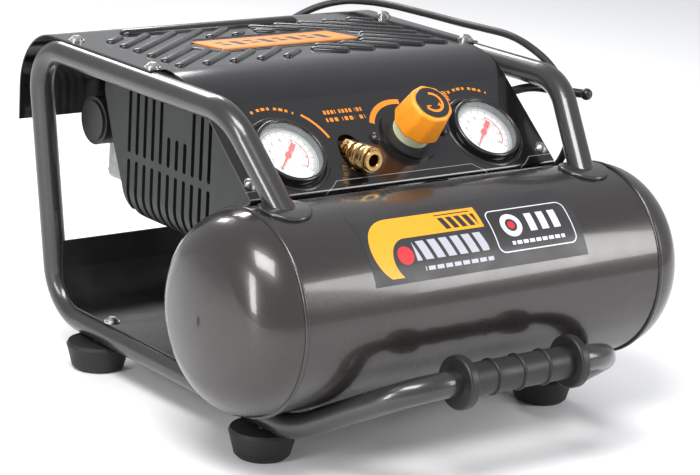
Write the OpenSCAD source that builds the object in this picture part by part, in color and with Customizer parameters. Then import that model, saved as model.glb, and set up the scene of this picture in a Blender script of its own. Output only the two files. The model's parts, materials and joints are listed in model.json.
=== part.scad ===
// Roll-cage air compressor: 10 litre tank, oil-free pump driven directly by its motor.
// X runs along the tank, Y runs from the front to the back, Z is up.

/* [Tank] */
// Outside diameter of the tank
tank_d = 170; // [150:1:205]
// Length of the straight shell between the head seams
shell_l = 380; // [316:1:460]
// Depth of each dished head past its seam
head_depth = 47; // [45:1:60]
// Knuckle radius of the dished heads
knuckle_r = 42; // [30:1:43]
// Thickness of the tank plate
tank_t = 2.5; // [2:0.5:4]

/* [Frame] */
// Outside diameter of the frame tube
bar_d = 22; // [18:0.5:26]
// Wall of the frame tube
bar_t = 2; // [1.5:0.5:3]
// Height of the top rails above the top of the tank
bar_rise = 68; // [60:1:80]
// Place of the rear legs behind the tank's axis, at the top
bar_rear = 360; // [345:1:420]
// Bend radius at the front of each roll bar
front_bend = 50; // [40:1:60]
// Bend radius at the back of each roll bar
rear_bend = 44; // [40:1:50]
// Reach of the carrying handle in front of the tank's axis
handle_reach = 118; // [112:1:150]
// Height of the carrying handle above the bottom rails
handle_lift = 54; // [44:1:60]
// Half the length of the handle's cross bar, to its bends
handle_half = 106; // [95:1:115]
// Outside diameter of the grip
grip_d = 28; // [26:0.5:34]
// Diameter of the two grip flanges
flange_d = 45; // [38:1:50]
// Length of the grip over its flanges
grip_l = 128; // [100:1:140]

/* [Feet] */
// Height of the rubber feet
foot_h = 25; // [20:1:35]
// Diameter of a foot at its top
foot_top_d = 58; // [48:1:60]
// Diameter of a foot at the floor
foot_low_d = 48; // [36:1:50]

/* [Cover and panel] */
// Thickness of the cover sheet
sheet_t = 1.5; // [1:0.25:2]
// Slope of the control panel from the vertical, in degrees
panel_slope = 50; // [46:1:54]
// Bend radius between the panel and the top
panel_bend = 90; // [60:1:92]
// Outer bend radius at the back of the cover
flap_bend = 56; // [40:1:60]
// Gap between the rear legs and the rear flap
flap_gap = 16; // [10:1:20]
// Height of the rear flap
flap_h = 87; // [60:1:100]
// Diameter of a gauge over its bezel
gauge_d = 65; // [50:1:66]
// Distance of a gauge from the side of the panel
gauge_inset = 58.5; // [50:0.5:62]
// Place of the regulator along the panel
regulator_x = 25.5; // [15:0.5:30]
// Place of the air outlet along the panel
coupler_x = -42; // [-46:1:-38]
// Diameter of the regulator knob at its base
knob_d = 46; // [38:1:48]
// Bore of the quick coupler
coupler_bore = 10; // [8:0.5:11]

/* [Pump] */
// Distance of the crankshaft behind the back of the tank
motor_gap = 100; // [95:1:110]
// Height of the crankshaft above the tray
motor_rise = 150; // [144:1:156]
// Outside diameter of the motor
motor_d = 120; // [100:1:130]
// Diameter of the cooling fan
fan_d = 88; // [72:1:88]
// Bore of the pump cylinder
cylinder_bore = 44; // [38:1:46]
// Diameter of the crankshaft
shaft_d = 12; // [10:0.5:14]
// Diameter of the mains lead
lead_d = 7; // [6.5:0.1:7.5]

/* [Hidden] */
$fn = 64;

slack = 0.05;
overcut = 1;
tank_r = tank_d / 2;
bar_r = bar_d / 2;
rail_z = foot_h + bar_r;
axis_z = foot_h + bar_d + 2.2 + tank_r;

// Frame
base_x = shell_l / 2 - 29;
rail_x = shell_l / 2 - 36;
bar_x = shell_l / 2 - 13;
base_y = -7;
corner_y = 51;
bar_z = axis_z + tank_r + bar_rise;
rail_rear = bar_rear - 8;
split_y = 62;
handle_turn_y = -24;
handle_z = rail_z + handle_lift;
handle_bend = 45;
foot_bend = 60;
plate_t = 3;
plate_d = 41;
foot_y = 18;
rear_foot_y = bar_rear - 80;
foot_bolt_d = 8;
foot_bolt_head_d = 13;
foot_bolt_head_h = 5.3;
foot_recess_d = 22;
foot_recess_h = 10;
foot_places = [for (s = [-1, 1], y = [foot_y, rear_foot_y]) [s * rail_x, y]];

// Tray
tray_t = 1.6;
tray_z = foot_h + bar_d + tray_t / 2;
tray_top_z = tray_z + tray_t / 2;
tray_front = tank_r + 20;
tray_rear = rail_rear - bar_r - tray_t / 2 - 1;
tray_up_z = 105;
tray_half = rail_x + 5;
tray_bend = rear_bend - bar_r - tray_t / 2 - 1;
tray_bolt_d = 6;
tray_bolt_places = [for (s = [-1, 1], y = [tray_front + 25, rear_foot_y - 22]) [s * rail_x, y]];

// Cover: the panel's foot stands just clear of the tank
cover_z = bar_z + bar_r + sheet_t / 2;
cover_half = bar_x + 3;
panel_half = shell_l / 2 - 25;
panel_foot_a = 67;
panel_foot = [0, (tank_r + 3) * cos(panel_foot_a), axis_z + (tank_r + 3) * sin(panel_foot_a)];
panel_up = [0, sin(panel_slope), cos(panel_slope)];
panel_out = [0, -cos(panel_slope), sin(panel_slope)];
lip_r = tank_r + 2.5;
lip_a = 55.5;
lip_bend = 2.5;
panel_lip = [0, lip_r * cos(lip_a), axis_z + lip_r * sin(lip_a)];
panel_top = panel_foot + panel_up * (cover_z - panel_foot.z) / cos(panel_slope);
flap_y = bar_rear + bar_r + flap_gap;
notch_y = 169;
bolt_inset = 5;
cover_bolt_d = 6;
cover_bolt_places = [for (s = [-1, 1], y = [notch_y + 9, bar_rear - 57]) [s * (bar_x - bolt_inset), y]];
badge = [160, 37, 0.8];
badge_y = 240;
regulator_s = 48;
panel_screw_d = 5;
panel_screws_at = [[regulator_x - 37, regulator_s], [regulator_x + 37, regulator_s]];
corner_screws_at = [for (s = [-1, 1]) [s * (panel_half - 7), 17]];

// Gauges
gauge_x = panel_half - gauge_inset;
gauge_s = 42;
gauge_r = gauge_d / 2;
gauge_body_r = gauge_r - 2.5;
gauge_bore_r = gauge_body_r - 0.8;
needle_shaft_r = 1;
gauge_zero = 225;

// Regulator, along the panel's normal
regulator_r = 15;
bonnet_r = 14;
bonnet_h = 16;
stem_r = 5;
stem_top = 34;
knob_low = 14;
knob_top = 44;
knob_top_d = knob_d - 8;

// Manifold: a bar behind the panel, under the gauges and the regulator
manifold_depth = 44;
manifold_r = 9;
manifold_at = panel_foot + panel_up * gauge_s - panel_out * manifold_depth;
riser_x = 62;
riser_a = atan2(manifold_at.z - axis_z, manifold_at.y);

// Coupler, level, pointing forwards
coupler_z = axis_z + 104;
coupler_mouth = 32;
coupler_face = tank_r + 2;
coupler_body_r = 8.5;
sleeve_r = 11.5;
sleeve_y = [35, 53];
sleeve_travel = 4;

// Pump and motor, on one crankshaft along X
shaft_y = tank_r + motor_gap;
shaft_z = tray_top_z + motor_rise;
shaft_r = shaft_d / 2;
shroud_x = -(base_x - 11);
shroud_t = 2.5;
shroud_depth = 26;
fan_x = shroud_x + 13;
fan_w = 13;
case_x = shroud_x + 34;
case_w = 62;
case_r = 42;
chamber_r = 36;
wall_w = 8;
bearing_r = 13;
bearing_w = 7;
motor_r = motor_d / 2;
motor_x = case_x + case_w;
motor_l = 124;
stator_x = motor_x + 22;
stator_l = 80;
rotor_r = 30;
crank_x = case_x + 26;
throw = 7;
crank_r = 12;
rod_bore_r = throw + crank_r + 0.5;
cylinder_y = shaft_y + case_r + 2;
cylinder_l = 60;
liner_r = cylinder_bore / 2 + 4;
plate_y = cylinder_y + cylinder_l;
valve_t = 4;
head_l = 28;
head_w = 66;
filter_z = shaft_z + 26;
filter_r = 22;
mount_r = 12;
mount_h = 25;
mount_places = [for (x = [motor_x + 20, motor_x + motor_l - 20], y = [-38, 38]) [x, shaft_y + y]];
switch_at = [panel_half - 66, manifold_at.y + 28, manifold_at.z - 6];
switch_size = [52, 50, 52];
drain_y = 40;
drain_z = axis_z - tank_r - 1;
drain_h = 8;
pipe_d = 10;
pipe_z = axis_z - 39;
pipe_x = stator_x + 22;

// Mains lead
gland_at = [motor_x + motor_l - 40, shaft_y + motor_r - 2, shaft_z - 22];

origin_y = (flap_y + sheet_t / 2 - handle_reach - flange_d / 2) / 2;

function unit(v) = v / norm(v);
function side_of(u) = norm(cross(u, [0, 0, 1])) > 0.01 ? unit(cross(u, [0, 0, 1])) : [1, 0, 0];
function turn(pts, i) = acos(unit(pts[i] - pts[i - 1]) * unit(pts[i + 1] - pts[i]));
function trim(pts, radii, i) =
    i == 0 || i == len(pts) - 1 ? 0 : radii[i - 1] * tan(turn(pts, i) / 2);

// Places a child by its three axes and its origin
module axes(x, y, z, o) {
    multmatrix([[x.x, y.x, z.x, o.x], [x.y, y.y, z.y, o.y], [x.z, y.z, z.z, o.z], [0, 0, 0, 1]])
        children();
}

// Sweeps a flat profile through points, with a round bend at each inner point.
// The last child is the bends' profile. Straights reach lap past the ends of the bends.
module run(pts, radii, lap = 0) {
    last = len(pts) - 1;
    for (i = [0 : last - 1]) {
        u = unit(pts[i + 1] - pts[i]);
        a = pts[i] + u * (trim(pts, radii, i) - (i == 0 ? 0 : lap));
        b = pts[i + 1] - u * (trim(pts, radii, i + 1) - (i == last - 1 ? 0 : lap));
        axes(cross(side_of(u), u), side_of(u), u, a)
            linear_extrude(height = norm(b - a)) children(0);
    }
    for (i = [1 : 1 : last - 1]) {
        u = unit(pts[i] - pts[i - 1]);
        v = unit(pts[i + 1] - pts[i]);
        n = unit(v - (u * v) * u);
        c = pts[i] - u * trim(pts, radii, i) + n * radii[i - 1];
        axes(-n, u, cross(-n, u), c)
            rotate_extrude(angle = turn(pts, i))
                translate([radii[i - 1], 0]) children($children - 1);
    }
}

module ring2d(r_out, r_in) {
    difference() {
        circle(r = r_out);
        circle(r = r_in);
    }
}

// Round tube: its bends are a hair thinner, so that each straight closes over them
module tube_run(pts, radii, r = bar_r, wall = bar_t) {
    hair = 0.03;
    run(pts, radii, 0.5) {
        ring2d(r, r - wall);
        ring2d(r - hair, r - wall + hair);
    }
}

// A cylinder along X, from x0 to x1
module bar_x_axis(r, x0, x1, y, z) {
    translate([x0, y, z]) rotate([0, 90, 0]) cylinder(r = r, h = x1 - x0);
}

// A cylinder along Y, from y0 to y1
module bar_y_axis(r, y0, y1, x, z) {
    translate([x, y0, z]) rotate([-90, 0, 0]) cylinder(r = r, h = y1 - y0);
}

module tank_bore(gap) {
    bar_x_axis(tank_r + gap, -shell_l, shell_l, 0, axis_z);
}

module on_panel(x, s) {
    axes([1, 0, 0], panel_up, panel_out,
        panel_foot + panel_out * sheet_t / 2 + panel_up * s + [x, 0, 0]) children();
}

module on_shaft(x) {
    translate([x, shaft_y, shaft_z]) rotate([0, 90, 0]) children();
}

// ---------------------------------------------------------------- tank
module tank_shell() {
    color("dimgray") translate([-shell_l / 2, 0, axis_z]) rotate([0, 90, 0])
        linear_extrude(height = shell_l) ring2d(tank_r, tank_r - tank_t);
}

// Half outline of a dished head: a knuckle arc and a crown arc that meet tangentially
module head2d(r, depth, knuckle) {
    crown = (pow(r - knuckle, 2) + depth * depth - knuckle * knuckle) / (2 * (depth - knuckle));
    a = asin((r - knuckle) / (crown - knuckle));
    intersection() {
        translate([r - knuckle, 0]) circle(r = knuckle);
        square([r, depth]);
    }
    intersection() {
        translate([0, depth - crown]) circle(r = crown, $fn = 180);
        polygon([[0, depth - crown], [0, depth + 1],
            [sin(a), cos(a)] * (crown + 9) + [0, depth - crown]]);
        square([r, depth + 1]);
    }
}

module tank_head() {
    bead_r = 2;
    rotate_extrude() difference() {
        head2d(tank_r, head_depth, knuckle_r);
        head2d(tank_r - tank_t, head_depth - tank_t, knuckle_r - tank_t);
    }
    rotate_extrude() difference() {
        translate([tank_r, 0]) circle(r = bead_r);
        translate([0, -bead_r]) square([tank_r, bead_r]);
        square([tank_r - 0.8, head_depth]);
        head2d(tank_r - tank_t, head_depth - tank_t, knuckle_r - tank_t);
    }
}

module tank_head_left() {
    color("dimgray") translate([-shell_l / 2, 0, axis_z]) rotate([0, -90, 0]) tank_head();
}

module tank_head_right() {
    color("dimgray") translate([shell_l / 2, 0, axis_z]) rotate([0, 90, 0]) tank_head();
}

module tank_ports() {
    boss_r = 13;
    boss_h = 9;
    color("dimgray") difference() {
        union() {
            translate([riser_x, 0, axis_z]) rotate([90 - riser_a, 0, 180])
                cylinder(r = boss_r, h = tank_r + boss_h);
            bar_y_axis(boss_r, tank_r / 2, tank_r + boss_h, pipe_x, pipe_z);
            translate([0, drain_y, drain_z]) cylinder(r = boss_r, h = tank_r);
        }
        tank_bore(0);
    }
}

// ---------------------------------------------------------------- frame
function hoop(s) = [
    [s * base_x, base_y, axis_z + tank_r - 5],
    [s * bar_x, corner_y, bar_z],
    [s * bar_x, bar_rear, bar_z],
    [s * rail_x, rail_rear, rail_z],
    [s * rail_x, split_y, rail_z]];

module foot_holes() {
    for (p = foot_places)
        translate([p.x, p.y, foot_h - overcut]) cylinder(d = foot_bolt_d + 0.4, h = bar_r);
}

module roll_bar(s) {
    color("dimgray") difference() {
        tube_run(hoop(s), [front_bend, rear_bend, rear_bend]);
        tank_bore(plate_t);
        foot_holes();
        for (p = tray_bolt_places)
            translate([p.x, p.y, rail_z]) cylinder(d = tray_bolt_d + 0.4, h = bar_d);
        for (p = cover_bolt_places)
            translate([p.x, p.y, bar_z]) cylinder(d = cover_bolt_d + 0.4, h = bar_d);
    }
}

module roll_bar_left() {
    roll_bar(-1);
}

module roll_bar_right() {
    roll_bar(1);
}

module front_handle() {
    half = [[rail_x, split_y, rail_z], [rail_x, handle_turn_y, rail_z],
        [handle_half, -handle_reach, handle_z]];
    pts = concat([for (p = half) [-p.x, p.y, p.z]], [half[2], half[1], half[0]]);
    color("dimgray") difference() {
        tube_run(pts, [foot_bend, handle_bend, handle_bend, foot_bend]);
        foot_holes();
    }
}

module handle_grip() {
    flange_w = 9;
    ring_h = 1.6;
    edge_r = 2;
    body_r = grip_d / 2;
    flange_r = flange_d / 2;
    inner = grip_l / 2 - flange_w;
    color("black") translate([-grip_l / 2, -handle_reach, handle_z]) rotate([0, 90, 0])
        rotate_extrude() {
            translate([bar_r, 0]) square([body_r - bar_r, grip_l]);
            for (x = [0, grip_l - flange_w]) {
                translate([bar_r, x]) square([flange_r - bar_r - edge_r, flange_w]);
                translate([bar_r, x + edge_r]) square([flange_r - bar_r, flange_w - 2 * edge_r]);
                for (e = [edge_r, flange_w - edge_r])
                    translate([flange_r - edge_r, x + e]) circle(r = edge_r);
            }
            for (i = [-1 : 1])
                translate([body_r, grip_l / 2 + i * inner / 2]) circle(r = ring_h);
        }
}

module bar_foot_plates() {
    color("dimgray") for (s = [-1, 1]) intersection() {
        difference() {
            tank_bore(plate_t);
            tank_bore(0);
        }
        translate([s * base_x, base_y, axis_z]) cylinder(d = plate_d, h = tank_d);
    }
}

// Welded ties between the handle tube and the underside of the tank
module handle_brackets() {
    tie_w = 30;
    tie_t = 6;
    color("dimgray") for (s = [-1, 1]) difference() {
        translate([s * (rail_x - 17) - tie_w / 2, -tie_t / 2, rail_z])
            cube([tie_w, tie_t, axis_z - rail_z]);
        tank_bore(0);
        bar_y_axis(bar_r, -50, 50, s * rail_x, rail_z);
    }
}

module rubber_feet() {
    lip = 3;
    color("black") for (p = foot_places) translate([p.x, p.y, 0]) difference() {
        union() {
            cylinder(d1 = foot_low_d - 2 * lip, d2 = foot_low_d, h = lip);
            translate([0, 0, lip])
                cylinder(d1 = foot_low_d, d2 = foot_top_d, h = foot_h - 2 * lip);
            translate([0, 0, foot_h - lip])
                cylinder(d1 = foot_top_d, d2 = foot_top_d - lip, h = lip);
        }
        translate([0, 0, -overcut]) cylinder(d = foot_bolt_d + 0.4, h = foot_h + 2 * overcut);
        translate([0, 0, -overcut]) cylinder(d = foot_recess_d, h = foot_recess_h + overcut);
    }
}

module foot_bolts() {
    color("silver") for (p = foot_places) translate([p.x, p.y, foot_recess_h]) {
        translate([0, 0, -foot_bolt_head_h])
            cylinder(d = foot_bolt_head_d / cos(30), h = foot_bolt_head_h, $fn = 6);
        cylinder(d = foot_bolt_d, h = foot_h - foot_recess_h + bar_t + 2);
    }
}

module base_tray() {
    color("#1c1c1e") difference() {
        run([[0, tray_front, tray_z], [0, tray_rear, tray_z], [0, tray_rear, tray_up_z]],
            [tray_bend], 0.5) {
            square([tray_t, 2 * tray_half], center = true);
            square([tray_t - 0.06, 2 * tray_half - 0.06], center = true);
        }
        for (p = tray_bolt_places)
            translate([p.x, p.y, rail_z]) cylinder(d = tray_bolt_d + 0.4, h = bar_d);
    }
}

// A domed screw with a washer; its head is above z = 0 and its shank below
module domed_bolt(d, shank) {
    washer_t = 1.2;
    cylinder(d = 2.4 * d, h = washer_t);
    translate([0, 0, washer_t]) cylinder(d = 1.9 * d, h = 0.25 * d);
    translate([0, 0, washer_t + 0.25 * d]) cylinder(d1 = 1.9 * d, d2 = d, h = 0.35 * d);
    translate([0, 0, -shank]) cylinder(d = d, h = shank);
}

module tray_bolts() {
    color("silver") for (p = tray_bolt_places)
        translate([p.x, p.y, tray_top_z]) domed_bolt(tray_bolt_d, tray_t + bar_t + 2);
}

// ---------------------------------------------------------------- cover and panel
module cover_cuts() {
    reach = bar_rear;
    for (s = [-1, 1]) {
        translate([s * (panel_half + reach / 2), notch_y - reach / 2, cover_z - tank_d / 2])
            cube([reach, reach, tank_d + 20], center = true);
        on_panel(s * gauge_x, gauge_s)
            translate([0, 0, -overcut - sheet_t])
                cylinder(r = gauge_body_r + 0.3, h = sheet_t + 2 * overcut);
    }
    on_panel(regulator_x, regulator_s) translate([0, 0, -overcut - sheet_t])
        cylinder(r = regulator_r + 0.3, h = sheet_t + 2 * overcut);
    bar_y_axis(sleeve_r + 2, 0, coupler_face, coupler_x, coupler_z);
    for (p = concat(panel_screws_at, corner_screws_at))
        on_panel(p.x, p.y) translate([0, 0, -overcut - sheet_t])
            cylinder(d = panel_screw_d + 0.4, h = sheet_t + 2 * overcut);
    for (p = cover_bolt_places)
        translate([p.x, p.y, bar_z]) cylinder(d = cover_bolt_d + 0.4, h = bar_d);
}

module top_cover() {
    pts = [panel_lip, panel_foot, panel_top, [0, flap_y, cover_z], [0, flap_y, cover_z - flap_h]];
    color("#1c1c1e") difference() {
        run(pts, [lip_bend, panel_bend, flap_bend - sheet_t / 2], 0.5) {
            square([sheet_t, 2 * cover_half], center = true);
            square([sheet_t - 0.06, 2 * cover_half - 0.06], center = true);
        }
        cover_cuts();
    }
}

module cover_bolts() {
    color("silver") for (p = cover_bolt_places)
        translate([p.x, p.y, cover_z + sheet_t / 2]) domed_bolt(cover_bolt_d, sheet_t + bar_t + 3);
    color("silver") for (p = corner_screws_at) on_panel(p.x, p.y) domed_bolt(panel_screw_d, 6);
}

module badge_plate() {
    slant = 10;
    x = badge.x / 2;
    y = badge.y / 2;
    color("darkorange") translate([0, badge_y, cover_z + sheet_t / 2])
        linear_extrude(height = badge.z)
            polygon([[-x, y], [-x + slant, -y], [x, -y], [x - slant, y]]);
}

// Hook under the right rail that keeps the wound lead on the frame
module cord_hook() {
    hook_r = 4;
    hook_s = 88;
    drop = 14;
    z = bar_z - bar_r - hook_r - 1.5;
    from = panel_foot + panel_up * hook_s - panel_out * (sheet_t / 2 + drop) + [panel_half - 22, 0, 0];
    tip = [bar_x + 34, 50, z];
    color("black") {
        on_panel(panel_half - 22, hook_s) translate([0, 0, -sheet_t - drop]) cylinder(r = hook_r, h = drop);
        translate(from) sphere(r = hook_r + 0.5);
        run([from, [bar_x + 8, 97, z], tip], [24], 0.5) {
            circle(r = hook_r);
            circle(r = hook_r - 0.03);
        }
        translate(tip) sphere(r = hook_r + 1.5);
    }
}

// ---------------------------------------------------------------- gauges
module gauge_case(s) {
    bezel_h = 7;
    depth = 24;
    stem_h = manifold_depth - manifold_r - depth + 1.5;
    color("#202022") on_panel(s * gauge_x, gauge_s) difference() {
        union() {
            cylinder(r = gauge_r, h = bezel_h);
            translate([0, 0, -depth]) cylinder(r = gauge_body_r, h = depth);
            translate([0, 0, -depth - stem_h]) cylinder(r = 5.5, h = stem_h);
        }
        translate([0, 0, -3]) cylinder(r = gauge_bore_r, h = 20);
        translate([0, 0, -9]) cylinder(r = needle_shaft_r + slack, h = 9);
    }
}

module gauge_dial(s) {
    color("white") on_panel(s * gauge_x, gauge_s) translate([0, 0, -3]) difference() {
        cylinder(r = gauge_bore_r, h = 0.8);
        translate([0, 0, -overcut]) cylinder(r = 1.6, h = 3);
    }
}

module gauge_needle(s) {
    arm_t = 0.6;
    color("crimson") on_panel(s * gauge_x, gauge_s) rotate([0, 0, gauge_zero]) {
        translate([0, 0, -8]) cylinder(r = needle_shaft_r, h = 8);
        translate([0, 0, -1.2]) cylinder(r = 2.8, h = 1.6);
        linear_extrude(height = arm_t)
            polygon([[0, -1.1], [18, -0.5], [20, 0], [18, 0.5], [0, 1.1]]);
        linear_extrude(height = arm_t)
            polygon([[0, -1.2], [-5, -1.2], [-6, -2.3], [-14, -2.3], [-14, 2.3], [-6, 2.3],
                [-5, 1.2], [0, 1.2]]);
    }
}

module gauge_lens(s) {
    color("lightcyan") on_panel(s * gauge_x, gauge_s)
        translate([0, 0, 4]) cylinder(r = gauge_bore_r, h = 1.5);
}

module gauge_case_left() { gauge_case(-1); }
module gauge_dial_left() { gauge_dial(-1); }
module gauge_needle_left() { gauge_needle(-1); }
module gauge_lens_left() { gauge_lens(-1); }
module gauge_case_right() { gauge_case(1); }
module gauge_dial_right() { gauge_dial(1); }
module gauge_needle_right() { gauge_needle(1); }
module gauge_lens_right() { gauge_lens(1); }

// ---------------------------------------------------------------- regulator and outlet
module regulator_body() {
    flange_r = 28;
    depth = manifold_depth - manifold_r + 1.5;
    color("#202022") on_panel(regulator_x, regulator_s) {
        translate([0, 0, -depth]) cylinder(r = regulator_r, h = depth);
        cylinder(r = flange_r, h = 3);
        cylinder(r = bonnet_r, h = bonnet_h);
        cylinder(r = stem_r, h = stem_top);
    }
}

module regulator_lock_ring() {
    color("#cfd6b0") on_panel(regulator_x, regulator_s) translate([0, 0, 3])
        linear_extrude(height = knob_low - 3 - 0.6) ring2d(bonnet_r + 3.5, bonnet_r);
}

module regulator_knob() {
    flutes = 9;
    flute_r = 3.2;
    color("orange") on_panel(regulator_x, regulator_s) difference() {
        translate([0, 0, knob_low])
            cylinder(d1 = knob_d, d2 = knob_top_d, h = knob_top - knob_low);
        translate([0, 0, knob_low - overcut])
            cylinder(r = bonnet_r + 0.6, h = bonnet_h - knob_low + 1.4 + overcut);
        translate([0, 0, knob_low]) cylinder(r = stem_r + slack, h = stem_top - knob_low + 0.6);
        for (i = [0 : flutes - 1]) rotate([0, 0, i * 360 / flutes])
            translate([knob_d / 2 + 1, 0, knob_low - overcut]) rotate([0, -4, 0])
                cylinder(r = flute_r, h = knob_top - knob_low - 4);
    }
}

module knob_cap() {
    color("#202022") on_panel(regulator_x, regulator_s) translate([0, 0, knob_top])
        cylinder(r = knob_top_d / 2 - 3, h = 1);
}

// Cast bar that joins the riser, the gauges, the regulator, the switch and the outlet
module air_manifold() {
    block = [26, 22];
    color("darkgoldenrod") difference() {
        union() {
            bar_x_axis(manifold_r, -gauge_x - 10, gauge_x + 18, manifold_at.y, manifold_at.z);
            translate([coupler_x - block.x / 2, coupler_face, manifold_at.z - 4])
                cube([block.x, block.y, coupler_z + 14 - manifold_at.z]);
            translate([riser_x, 0, axis_z]) rotate([90 - riser_a, 0, 180])
                translate([0, 0, tank_r + 9])
                    cylinder(r = 7, h = norm([manifold_at.y, manifold_at.z - axis_z]) - tank_r - 9);
            bar_y_axis(6, manifold_at.y, switch_at.y, switch_at.x, manifold_at.z);
        }
        for (s = [-1, 1]) on_panel(s * gauge_x, gauge_s)
            translate([0, 0, -manifold_depth]) translate([0, 0, manifold_r - 1.5])
                cylinder(r = 5.5, h = 20);
        translate([safety_x, manifold_at.y, safety_z - 2]) cylinder(d = 14 / cos(30), h = 20);
        on_panel(regulator_x, regulator_s)
            translate([0, 0, -manifold_depth + manifold_r - 1.5])
                cylinder(r = regulator_r, h = 20);
    }
}

module coupler_body() {
    hex_af = 19;
    color("goldenrod") translate([coupler_x, coupler_mouth, coupler_z]) rotate([-90, 0, 0])
        difference() {
            union() {
                cylinder(r = coupler_body_r + 1, h = sleeve_y[0] - coupler_mouth);
                cylinder(r = coupler_body_r, h = 34);
                translate([0, 0, sleeve_y[1] - coupler_mouth + sleeve_travel + 1])
                    cylinder(r = sleeve_r - 1, h = 4);
                translate([0, 0, 34]) cylinder(d = hex_af / cos(30), h = 8, $fn = 6);
                translate([0, 0, 42]) cylinder(r = 7, h = coupler_face - coupler_mouth - 42);
            }
            translate([0, 0, -overcut]) cylinder(d = coupler_bore, h = 26 + overcut);
        }
}

module coupler_sleeve() {
    color("goldenrod") translate([coupler_x, sleeve_y[0], coupler_z]) rotate([-90, 0, 0])
        difference() {
            union() {
                cylinder(r = sleeve_r, h = 7);
                cylinder(r = sleeve_r - 1.2, h = sleeve_y[1] - sleeve_y[0]);
                translate([0, 0, 12]) cylinder(r = sleeve_r, h = 6);
            }
            translate([0, 0, -overcut])
                cylinder(r = coupler_body_r + slack, h = sleeve_y[1] - sleeve_y[0] + 2 * overcut);
        }
}

module panel_screws() {
    color("silver") for (p = panel_screws_at)
        on_panel(p.x, p.y) domed_bolt(panel_screw_d, 8);
}

// ---------------------------------------------------------------- fan side
// Side outline of the fan shroud, with the panel, the top and the tank kept clear
module shroud2d(inset) {
    top = cover_z - 8;
    low = shaft_z - 53;
    front = panel_foot - panel_out * 5;
    head = front + panel_up * (top - front.z) / panel_up.z;
    rear_y = shaft_y + 103;
    offset(delta = -inset) difference() {
        polygon([[front.y, front.z], [head.y, top], [rear_y, top], [rear_y, shaft_z + 57],
            [shaft_y + 87, shaft_z + 15], [shaft_y + 70, shaft_z - 22], [shaft_y + 64, low + 11],
            [shaft_y + 50, low], [tank_r / 2, low]]);
        translate([0, axis_z]) circle(r = tank_r + 4);
        translate([panel_foot.y - 10, panel_foot.z - 22]) square([32, 22]);
    }
}

module shroud_body(inset) {
    low = shaft_z - 53 + inset;
    round_r = 30 - inset;
    x = shroud_x + inset;
    intersection() {
        axes([0, 1, 0], [0, 0, 1], [1, 0, 0], [x, 0, 0])
            linear_extrude(height = shroud_depth) shroud2d(inset);
        union() {
            translate([x, 0, low + round_r]) cube([shroud_depth, bar_rear, bar_z]);
            translate([x + round_r, 0, low]) cube([shroud_depth, bar_rear, bar_z]);
            bar_y_axis(round_r, 0, bar_rear, x + round_r, low + round_r);
        }
    }
}

module shroud_slot(y, z0, z1) {
    slot_w = 5;
    bar_x_axis(slot_w / 2, shroud_x - overcut, shroud_x + 26, y, z0);
    bar_x_axis(slot_w / 2, shroud_x - overcut, shroud_x + 26, y, z1);
    translate([shroud_x - overcut, y - slot_w / 2, z0]) cube([26 + overcut, slot_w, z1 - z0]);
}

module fan_shroud() {
    pitch = 12.6;
    upper = shaft_z + 13;
    lower = shaft_z + 2;
    color("#1f2320") difference() {
        shroud_body(0);
        translate([overcut, 0, 0]) shroud_body(shroud_t);
        on_panel(-gauge_x, gauge_s)
            translate([0, 0, -manifold_depth]) cylinder(r = gauge_body_r + 1.5, h = manifold_depth);
        for (i = [0 : 10]) {
            y = shaft_y + 60 - i * pitch;
            short = i >= 5 && i <= 7;
            shroud_slot(y, upper, short ? upper + 22 : shaft_z + 74);
            if (y > tank_r + 26) shroud_slot(y, shaft_z - 60, lower);
            else shroud_slot(y, axis_z + sqrt(pow(tank_r + 12, 2) - pow(min(y, tank_r + 11), 2)), lower);
        }
    }
}

module cooling_fan() {
    blades = 9;
    hub_r = 18;
    color("#2a2a2c") on_shaft(fan_x) {
        difference() {
            cylinder(r = hub_r, h = fan_w);
            translate([0, 0, -overcut]) cylinder(r = shaft_r, h = fan_w + 2 * overcut);
        }
        for (i = [0 : blades - 1]) rotate([0, 0, i * 360 / blades])
            translate([hub_r - 2, 0, fan_w / 2]) rotate([38, 0, 0])
                translate([0, -1, -fan_w * 0.55]) cube([fan_d / 2 - hub_r, 2, fan_w * 1.1]);
    }
}

// ---------------------------------------------------------------- motor and pump
module motor_housing() {
    wall = 3;
    bell = 10;
    color("#3a3a3c") difference() {
        union() {
            on_shaft(motor_x) cylinder(r = motor_r, h = motor_l);
            for (p = [motor_x + 20, motor_x + motor_l - 20])
                translate([p - 14, shaft_y - 52, tray_top_z + mount_h])
                    cube([28, 104, motor_rise - mount_h - 10]);
        }
        on_shaft(motor_x - overcut) cylinder(r = motor_r - wall, h = motor_l - bell + overcut);
        on_shaft(motor_x + motor_l - bell - overcut)
            cylinder(r = bearing_r, h = bearing_w + overcut);
        on_shaft(motor_x + motor_l - bell) cylinder(r = shaft_r + 1, h = bell + overcut);
        translate(gland_at) rotate([-90, 0, 0]) cylinder(r = 20, h = 20);
    }
}

module motor_stator() {
    color("#8a8d90") on_shaft(stator_x)
        linear_extrude(height = stator_l) ring2d(motor_r - 3, rotor_r + 0.8);
}

module motor_rotor() {
    color("silver") {
        on_shaft(fan_x) cylinder(r = shaft_r, h = motor_x + motor_l - 2 - fan_x);
        on_shaft(stator_x) cylinder(r = rotor_r, h = stator_l);
    }
}

module motor_bearings() {
    color("silver") for (x = [case_x, motor_x + motor_l - 10])
        on_shaft(x) linear_extrude(height = bearing_w) ring2d(bearing_r, shaft_r + slack);
}

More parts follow.
